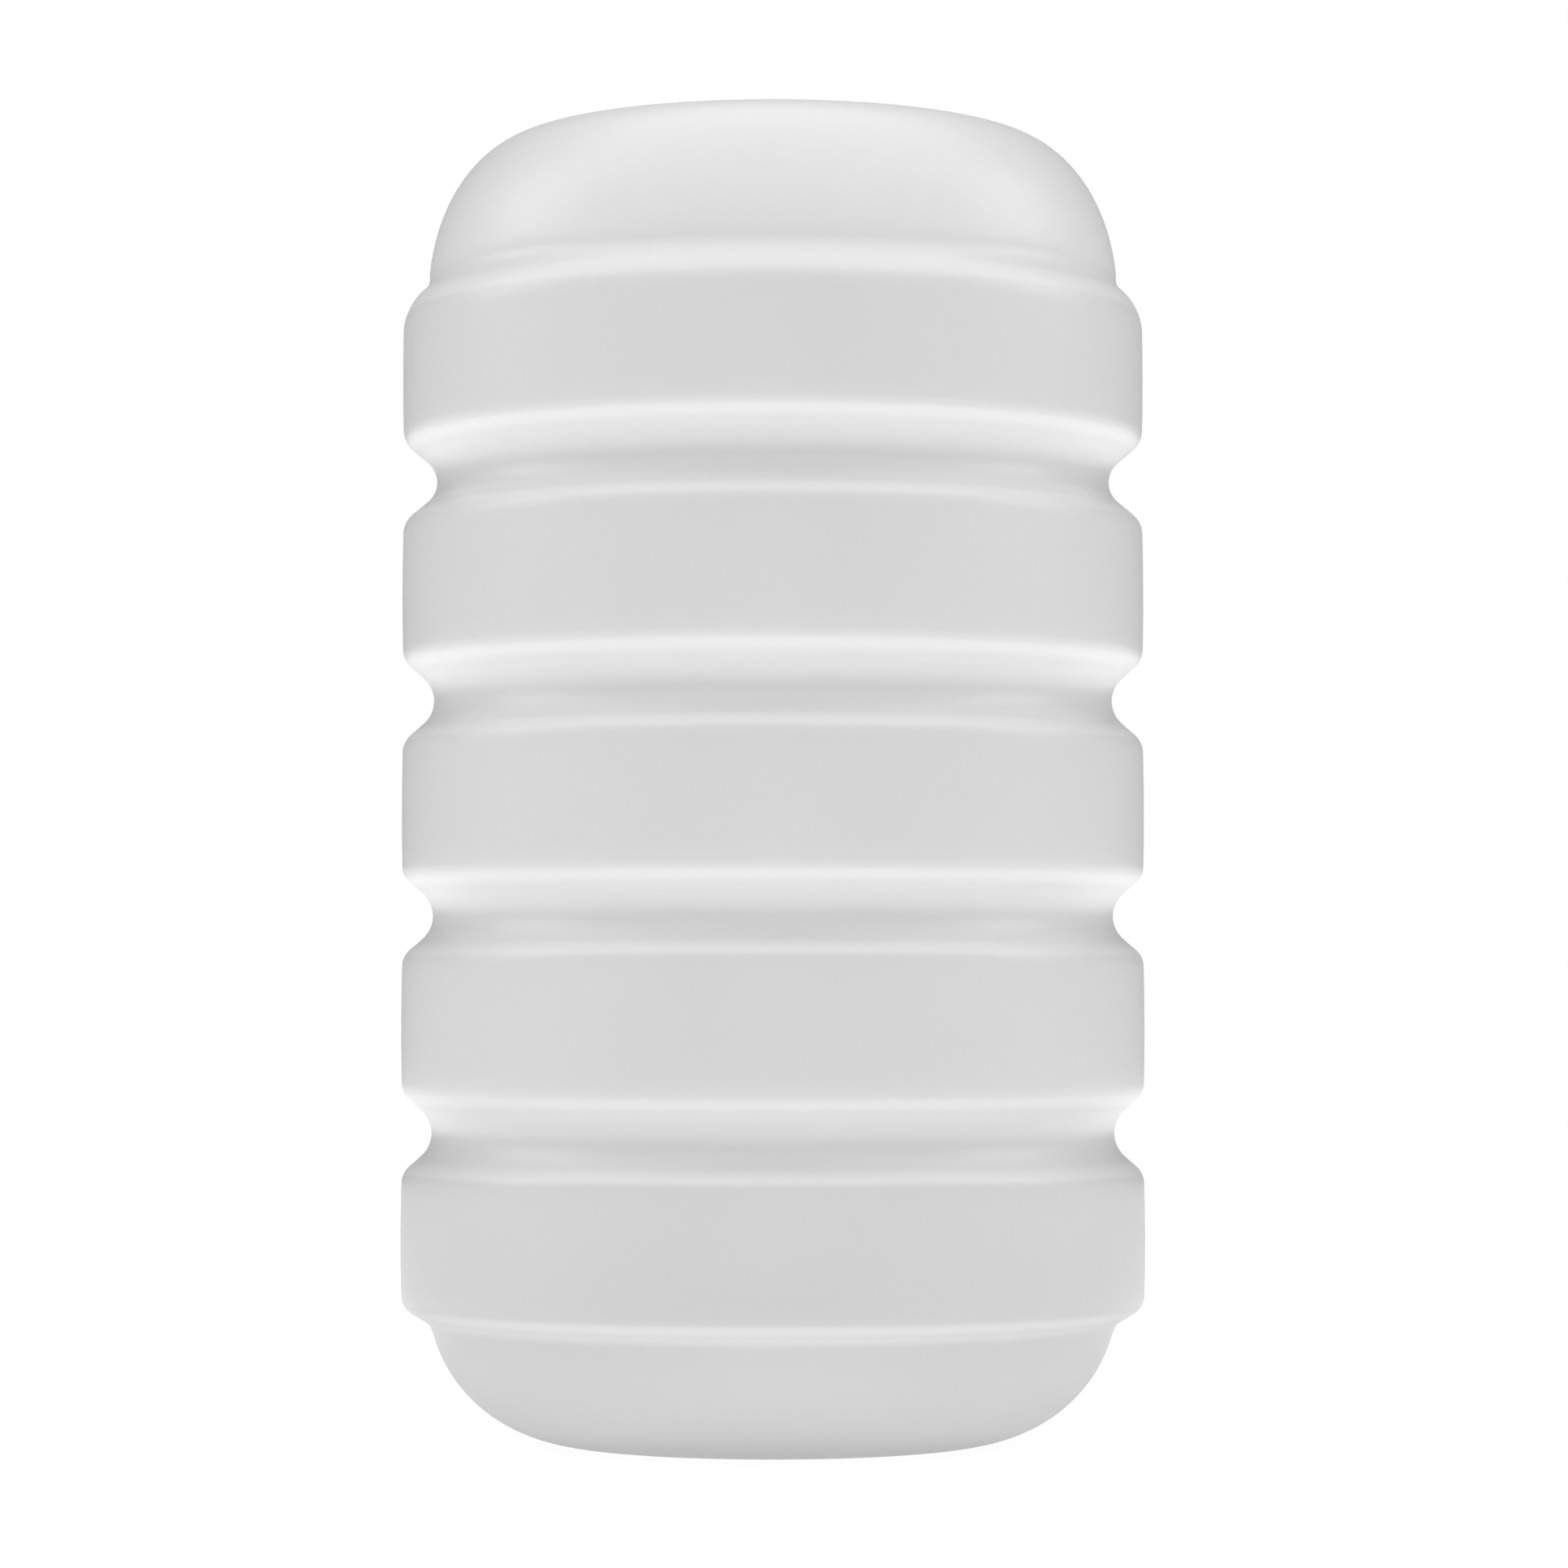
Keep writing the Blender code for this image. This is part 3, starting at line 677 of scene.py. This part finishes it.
# EPDM rubber, compression-moulded: matt black, with a fine grain and a patchy bloom of paler dust. The grain
# of the real one is under 0.1 mm, and is drawn coarser, so that it shows.
epdm = bpy.data.materials.new("moulded_epdm_rubber")
epdm.use_nodes = True
rubber = epdm.node_tree
compound = rubber.nodes["Principled BSDF"]
ring_place = add_node(rubber, "ShaderNodeTexCoord").outputs["Object"]
dust = add_node(rubber, "ShaderNodeTexNoise", {"Scale": 1000 / DUST_MM, "Detail": 4.0}, Vector=ring_place)
bloom = add_node(
    rubber,
    "ShaderNodeMix",
    {"data_type": "RGBA", 6: linear_colour("#161616"), 7: linear_colour("#242322")},
    _0=dust.outputs["Fac"],
)
dullness = add_node(
    rubber, "ShaderNodeMapRange", {"To Min": 0.55, "To Max": 0.85}, Value=dust.outputs["Fac"]
)
rubber_grain = add_node(
    rubber, "ShaderNodeTexNoise", {"Scale": 1000 / RUBBER_GRAIN_MM, "Detail": 2.0}, Vector=ring_place
)
rubber_bump = add_node(
    rubber,
    "ShaderNodeBump",
    {"Distance": RUBBER_GRAIN_DEPTH_MM / 1000},
    Height=rubber_grain.outputs["Fac"],
)
rubber.links.new(bloom.outputs[2], compound.inputs["Base Color"])
rubber.links.new(dullness.outputs["Result"], compound.inputs["Roughness"])
rubber.links.new(rubber_bump.outputs["Normal"], compound.inputs["Normal"])


def gasket_shape(inner, outer, bottom, thickness, across):
    """A flat ring with rounded edges."""
    corners = [(outer, bottom + thickness), (outer, bottom), (inner, bottom), (inner, bottom + thickness)]
    return turned_shape([(*corner, GASKET_EDGE_ROUND) for corner in corners], across, closed=True)


for name, neck_name in (("pour_gasket", "pour_neck"), ("reducer_gasket", "reducer_neck")):
    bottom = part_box(name)[0][2]
    ring = gasket_shape(GASKET_BORE, NECK_RADIUS, bottom, GASKET_THICKNESS, neck_places[neck_name])
    gasket = make_piece(name + "_ring", ring, epdm)
    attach(gasket, name)
    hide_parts(name)


# The pour plug. A two-inch plug injection-moulded in one piece, with a notched rim for the hand, a
# right-handed thread round its shank, and four lugs inside its cup for a bung wrench.
HEAD_RADIUS = 0.0325
HEAD_BOTTOM = NECK_TOP + 0.0030
HEAD_TOP = HEAD_BOTTOM + 0.006
HEAD_EDGE_ROUND = 0.001
PLUG_BOTTOM = HEAD_BOTTOM - 0.0247
THREAD_CLEARANCE = 0.0004
CORE_RADIUS = NECK_BORE - THREAD_DEPTH - THREAD_CLEARANCE
PLUG_WALL = 0.0026
CUP_RADIUS = CORE_RADIUS - PLUG_WALL
CUP_FLOOR = PLUG_BOTTOM + PLUG_WALL
PLUG_TURNS = 3.5
HEAD_RIM_ROUND = 0.0006
HEAD_SEGMENTS = 384
NOTCH_COUNT = 8
NOTCH_DEPTH = 0.00175
NOTCH_HALF_TURN = math.radians(6.5)
LUG_SIZE = (0.0055, 0.006, 0.0153)
LUG_COUNT = 4
MOUTH_CHAMFER = 0.0006
CUT_OVERRUN = 0.001


def bevel_edges(shape, edges, offset):
    """Rounds the edges that are given."""
    bmesh.ops.bevel(
        shape,
        geom=edges,
        offset=offset,
        offset_type="OFFSET",
        segments=3,
        profile=0.5,
        affect="EDGES",
        material=-1,
    )


def rim_edges(shape, ends):
    """The edges between an upright prism's sides and its flat ends. End 1 is the top and -1 the bottom."""
    shape.normal_update()
    return [
        edge
        for edge in shape.edges
        if {round(face.normal.z) for face in edge.link_faces} in [{0, end} for end in ends]
    ]


def notched_head(across):
    """The plugs' round head, whose edge dips in evenly spaced shallow notches for the fingers."""
    head = bmesh.new()
    bmesh.ops.create_circle(head, cap_ends=True, radius=HEAD_RADIUS, segments=HEAD_SEGMENTS)
    spacing = 2 * math.pi / NOTCH_COUNT
    for vert in head.verts:
        from_notch = (math.atan2(vert.co.y, vert.co.x) % spacing - spacing / 2) / NOTCH_HALF_TURN
        if abs(from_notch) < 1:
            vert.co *= 1 - NOTCH_DEPTH / HEAD_RADIUS * (1 + math.cos(math.pi * from_notch)) / 2
    raised = bmesh.ops.extrude_face_region(head, geom=head.faces[:])["geom"]
    raised_verts = [part for part in raised if isinstance(part, bmesh.types.BMVert)]
    bmesh.ops.translate(head, vec=(0, 0, HEAD_TOP - HEAD_BOTTOM), verts=raised_verts)
    bmesh.ops.holes_fill(head, edges=[edge for edge in head.edges if edge.is_boundary])
    bmesh.ops.translate(head, vec=(across, 0, HEAD_BOTTOM), verts=head.verts)
    bmesh.ops.recalc_face_normals(head, faces=head.faces)
    bevel_edges(head, rim_edges(head, (1, -1)), HEAD_RIM_ROUND)
    return head


def plug_blank(across):
    """What both two-inch plugs share: a notched head, a threaded shank and a cup."""
    in_head = (HEAD_BOTTOM + HEAD_TOP) / 2
    shank = [
        (0.0, in_head, 0),
        (CORE_RADIUS, in_head, 0),
        (CORE_RADIUS, PLUG_BOTTOM, HEAD_EDGE_ROUND),
        (0.0, PLUG_BOTTOM, 0),
    ]
    blank = combine(notched_head(across), turned_shape(shank, across), "UNION")
    plug_thread = thread_shape(
        CORE_RADIUS - THREAD_SINK,
        CORE_RADIUS + THREAD_DEPTH,
        NECK_THREAD_START - PITCH / 2,
        PITCH,
        PLUG_TURNS,
        across,
    )
    blank = combine(blank, plug_thread, "UNION")
    cup = [
        (0.0, HEAD_TOP + CUT_OVERRUN, 0),
        (CUP_RADIUS + MOUTH_CHAMFER, HEAD_TOP + CUT_OVERRUN, 0),
        (CUP_RADIUS + MOUTH_CHAMFER, HEAD_TOP, 0),
        (CUP_RADIUS, HEAD_TOP - MOUTH_CHAMFER, 0),
        (CUP_RADIUS, CUP_FLOOR, HEAD_EDGE_ROUND),
        (0.0, CUP_FLOOR, 0),
    ]
    return combine(blank, turned_shape(cup, across), "DIFFERENCE")


def round_turns(count):
    """Evenly spaced turns about an upright axis, the first of them half a right angle from outwards."""
    return [math.pi / 4 + 2 * math.pi * index / count for index in range(count)]


# High-density polyethylene again, injection-moulded with a little white pigment: cooler and denser than the
# shell, so less light bleeds through it.
plug_hdpe = moulded_plastic(
    "injection_moulded_plug_hdpe",
    ("#e4e5e6", "#e9eaea"),
    mottle_mm=18,
    wave_mm=2.5,
    wave_depth_mm=0.010,
    grain_mm=0.5,
    roughness=0.36,
    bleed_mm=3.0,
)
pour_across = neck_places["pour_neck"]
lug_reach = CUP_RADIUS + PLUG_WALL / 2 - LUG_SIZE[0] / 2
lug_middle = CUP_FLOOR - PLUG_WALL / 2 + LUG_SIZE[2] / 2
lugs = bmesh.new()
for turn in round_turns(LUG_COUNT):
    centre = (pour_across + lug_reach * math.cos(turn), lug_reach * math.sin(turn), lug_middle)
    add_box(lugs, LUG_SIZE, centre, turn)
pour_plug = make_piece("pour_plug_moulding", combine(plug_blank(pour_across), lugs, "UNION"), plug_hdpe)
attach(pour_plug, "pour_plug")
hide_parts("pour_plug")


# The reducer plug. The same moulding as the pour plug, but with a bored and threaded boss in the middle of
# its cup, which takes the small vent plug, and with four ribs from the boss to the wall that a wrench turns.
BOSS_RADIUS = 0.0165
BOSS_BORE = 0.0134
BOSS_TOP = HEAD_TOP - 0.005
BOSS_EDGE_ROUND = 0.0006
RIB_COUNT = 4
RIB_SIZE = (CUP_RADIUS - BOSS_RADIUS + PLUG_WALL, 0.004, 0.014)
VENT_PITCH = 0.0025
VENT_THREAD_DEPTH = 0.0011
VENT_TURNS = 2.5
VENT_THREAD_START = BOSS_TOP - THREAD_BELOW_RIM - VENT_PITCH * VENT_TURNS

reducer_across = neck_places["reducer_neck"]
boss_foot = CUP_FLOOR - PLUG_WALL / 2
boss = [
    (0.0, BOSS_TOP, 0),
    (BOSS_RADIUS, BOSS_TOP, BOSS_EDGE_ROUND),
    (BOSS_RADIUS, boss_foot, 0),
    (0.0, boss_foot, 0),
]
reducer = combine(plug_blank(reducer_across), turned_shape(boss, reducer_across), "UNION")
rib_reach = (CUP_RADIUS + BOSS_RADIUS) / 2
rib_middle = boss_foot + RIB_SIZE[2] / 2
ribs = bmesh.new()
for turn in round_turns(RIB_COUNT):
    centre = (reducer_across + rib_reach * math.cos(turn), rib_reach * math.sin(turn), rib_middle)
    add_box(ribs, RIB_SIZE, centre, turn)
reducer = combine(reducer, ribs, "UNION")
bore = [
    (0.0, HEAD_TOP, 0),
    (BOSS_BORE + MOUTH_CHAMFER, HEAD_TOP, 0),
    (BOSS_BORE + MOUTH_CHAMFER, BOSS_TOP, 0),
    (BOSS_BORE, BOSS_TOP - MOUTH_CHAMFER, 0),
    (BOSS_BORE, PLUG_BOTTOM - CUT_OVERRUN, 0),
    (0.0, PLUG_BOTTOM - CUT_OVERRUN, 0),
]
reducer = combine(reducer, turned_shape(bore, reducer_across), "DIFFERENCE")
boss_thread = thread_shape(
    BOSS_BORE + THREAD_SINK,
    BOSS_BORE - VENT_THREAD_DEPTH,
    VENT_THREAD_START,
    VENT_PITCH,
    VENT_TURNS,
    reducer_across,
)
reducer_plug = make_piece("reducer_plug_moulding", combine(reducer, boss_thread, "UNION"), plug_hdpe)
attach(reducer_plug, "reducer_plug")
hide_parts("reducer_plug")


# The vent gasket. A small flat ring moulded from the same black rubber. It is pushed on to the vent plug's
# shank and lies between the plug's flange and the reducer's boss.
VENT_GASKET_THICKNESS = 0.0018
VENT_GASKET_GAP = 0.0003
VENT_SHANK_RADIUS = 0.0118
VENT_FLANGE_RADIUS = 0.0165

vent_ring = gasket_shape(
    VENT_SHANK_RADIUS + VENT_THREAD_DEPTH + VENT_GASKET_GAP,
    VENT_FLANGE_RADIUS,
    BOSS_TOP + VENT_GASKET_GAP,
    VENT_GASKET_THICKNESS,
    reducer_across,
)
vent_gasket = make_piece("vent_gasket_ring", vent_ring, epdm)
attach(vent_gasket, "vent_gasket")
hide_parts("vent_gasket")


# The vent plug. Moulded in grey polypropylene, with a six-sided head on a round flange, a fine thread, and a
# passage up its middle to a round seat where gas leaves through the membrane.
VENT_FLANGE_BOTTOM = BOSS_TOP + VENT_GASKET_THICKNESS + 2 * VENT_GASKET_GAP
VENT_FLANGE_TOP = VENT_FLANGE_BOTTOM + 0.0025
VENT_BOTTOM = VENT_FLANGE_BOTTOM - 0.013
HEX_RADIUS = 0.0155
HEX_TOP = VENT_FLANGE_TOP + 0.004
SEAT_RADIUS = 0.008
SEAT_FLOOR = HEX_TOP - 0.003
PASSAGE_RADIUS = 0.003
HEX_CORNER_ROUND = 0.0008
VENT_EDGE_ROUND = 0.0005
SEAT_CHAMFER = 0.0004

vent_section = [
    (0.0, VENT_FLANGE_TOP, 0),
    (VENT_FLANGE_RADIUS, VENT_FLANGE_TOP, VENT_EDGE_ROUND),
    (VENT_FLANGE_RADIUS, VENT_FLANGE_BOTTOM, VENT_EDGE_ROUND),
    (VENT_SHANK_RADIUS, VENT_FLANGE_BOTTOM, 0),
    (VENT_SHANK_RADIUS, VENT_BOTTOM, VENT_EDGE_ROUND),
    (0.0, VENT_BOTTOM, 0),
]
hexagon = bmesh.new()
in_flange = (VENT_FLANGE_BOTTOM + VENT_FLANGE_TOP) / 2
add_cylinder(hexagon, HEX_RADIUS, in_flange, HEX_TOP, reducer_across, segments=6, turn=math.pi / 6)
upright_edges = [
    edge for edge in hexagon.edges if abs(edge.verts[0].co.z - edge.verts[1].co.z) > VENT_EDGE_ROUND
]
bevel_edges(hexagon, upright_edges, HEX_CORNER_ROUND)
bevel_edges(hexagon, rim_edges(hexagon, (1,)), VENT_EDGE_ROUND)
vent = combine(turned_shape(vent_section, reducer_across), hexagon, "UNION")
vent_thread = thread_shape(
    VENT_SHANK_RADIUS - THREAD_SINK,
    VENT_SHANK_RADIUS + VENT_THREAD_DEPTH,
    VENT_THREAD_START - VENT_PITCH / 2,
    VENT_PITCH,
    VENT_TURNS,
    reducer_across,
)
vent = combine(vent, vent_thread, "UNION")
seat = [
    (0.0, HEX_TOP + CUT_OVERRUN, 0),
    (SEAT_RADIUS + SEAT_CHAMFER, HEX_TOP + CUT_OVERRUN, 0),
    (SEAT_RADIUS + SEAT_CHAMFER, HEX_TOP, 0),
    (SEAT_RADIUS, HEX_TOP - SEAT_CHAMFER, 0),
    (SEAT_RADIUS, SEAT_FLOOR, 0),
    (PASSAGE_RADIUS, SEAT_FLOOR, 0),
    (PASSAGE_RADIUS, VENT_BOTTOM - CUT_OVERRUN, 0),
    (0.0, VENT_BOTTOM - CUT_OVERRUN, 0),
]
vent = combine(vent, turned_shape(seat, reducer_across), "DIFFERENCE")

# Polypropylene, injection-moulded and pigmented grey, which tells the vented plug from a plain one: stiffer
# and more opaque than the plugs, with a slightly duller face.
vent_pp = moulded_plastic(
    "injection_moulded_vent_pp",
    ("#cbced1", "#d1d3d5"),
    mottle_mm=12,
    wave_mm=2.0,
    wave_depth_mm=0.008,
    grain_mm=0.5,
    roughness=0.40,
    bleed_mm=1.5,
)
vent_plug = make_piece("vent_plug_moulding", vent, vent_pp)
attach(vent_plug, "vent_plug")
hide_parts("vent_plug")


# The membrane. A disc punched from a sheet of expanded PTFE, that lets gas out of the drum and keeps liquid
# in. It lies on the floor of the vent plug's seat, under the splash cap.
MEMBRANE_RADIUS = 0.0068
MEMBRANE_GAP = 0.0003
MEMBRANE_BOTTOM = SEAT_FLOOR + MEMBRANE_GAP
MEMBRANE_TOP = MEMBRANE_BOTTOM + 0.0005
MEMBRANE_EDGE_ROUND = 0.0001
FIBRE_MM = 0.4
FIBRE_DEPTH_MM = 0.03

membrane_section = [
    (0.0, MEMBRANE_TOP, 0),
    (MEMBRANE_RADIUS, MEMBRANE_TOP, MEMBRANE_EDGE_ROUND),
    (MEMBRANE_RADIUS, MEMBRANE_BOTTOM, MEMBRANE_EDGE_ROUND),
    (0.0, MEMBRANE_BOTTOM, 0),
]

# Expanded PTFE, stretched into a web of fibres: dead white, matt and felt-like. The real fibres are far too
# fine to see, and are drawn 0.4 mm apart, so that they show.
eptfe = bpy.data.materials.new("expanded_ptfe_membrane")
eptfe.use_nodes = True
web = eptfe.node_tree
felt = web.nodes["Principled BSDF"]
disc_place = add_node(web, "ShaderNodeTexCoord").outputs["Object"]
fibres = add_node(
    web,
    "ShaderNodeTexNoise",
    {"Scale": 1000 / FIBRE_MM, "Detail": 6.0, "Distortion": 1.5},
    Vector=disc_place,
)
whites = add_node(
    web,
    "ShaderNodeMix",
    {"data_type": "RGBA", 6: linear_colour("#ececea"), 7: linear_colour("#f6f6f5")},
    _0=fibres.outputs["Fac"],
)
matted = add_node(web, "ShaderNodeBump", {"Distance": FIBRE_DEPTH_MM / 1000}, Height=fibres.outputs["Fac"])
web.links.new(whites.outputs[2], felt.inputs["Base Color"])
web.links.new(matted.outputs["Normal"], felt.inputs["Normal"])
felt.inputs["Roughness"].default_value = 0.9
membrane = make_piece("vent_membrane_disc", turned_shape(membrane_section, reducer_across), eptfe)
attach(membrane, "vent_plug")
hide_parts("vent_membrane")


# The splash cap. A small disc with a shallow dish, moulded from the same grey polypropylene. It is pressed
# into the vent plug's seat over the membrane, and keeps splashes and fingers off it.
CAP_RADIUS = 0.0077
CAP_BOTTOM = MEMBRANE_TOP + MEMBRANE_GAP
CAP_TOP = CAP_BOTTOM + 0.0016
CAP_TOP_ROUND = 0.0004
CAP_BOTTOM_ROUND = 0.0002
DISH_RADIUS = 0.0055
DISH_DEPTH = 0.0004
DISH_SLOPE = 0.0006
DISH_FLOOR_ROUND = 0.0003
DISH_RIM_ROUND = 0.0002

cap_section = [
    (0.0, CAP_TOP - DISH_DEPTH, 0),
    (DISH_RADIUS, CAP_TOP - DISH_DEPTH, DISH_FLOOR_ROUND),
    (DISH_RADIUS + DISH_SLOPE, CAP_TOP, DISH_RIM_ROUND),
    (CAP_RADIUS, CAP_TOP, CAP_TOP_ROUND),
    (CAP_RADIUS, CAP_BOTTOM, CAP_BOTTOM_ROUND),
    (0.0, CAP_BOTTOM, 0),
]
cap = make_piece("vent_cap_moulding", turned_shape(cap_section, reducer_across), vent_pp)
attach(cap, "vent_plug")
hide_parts("vent_cap")
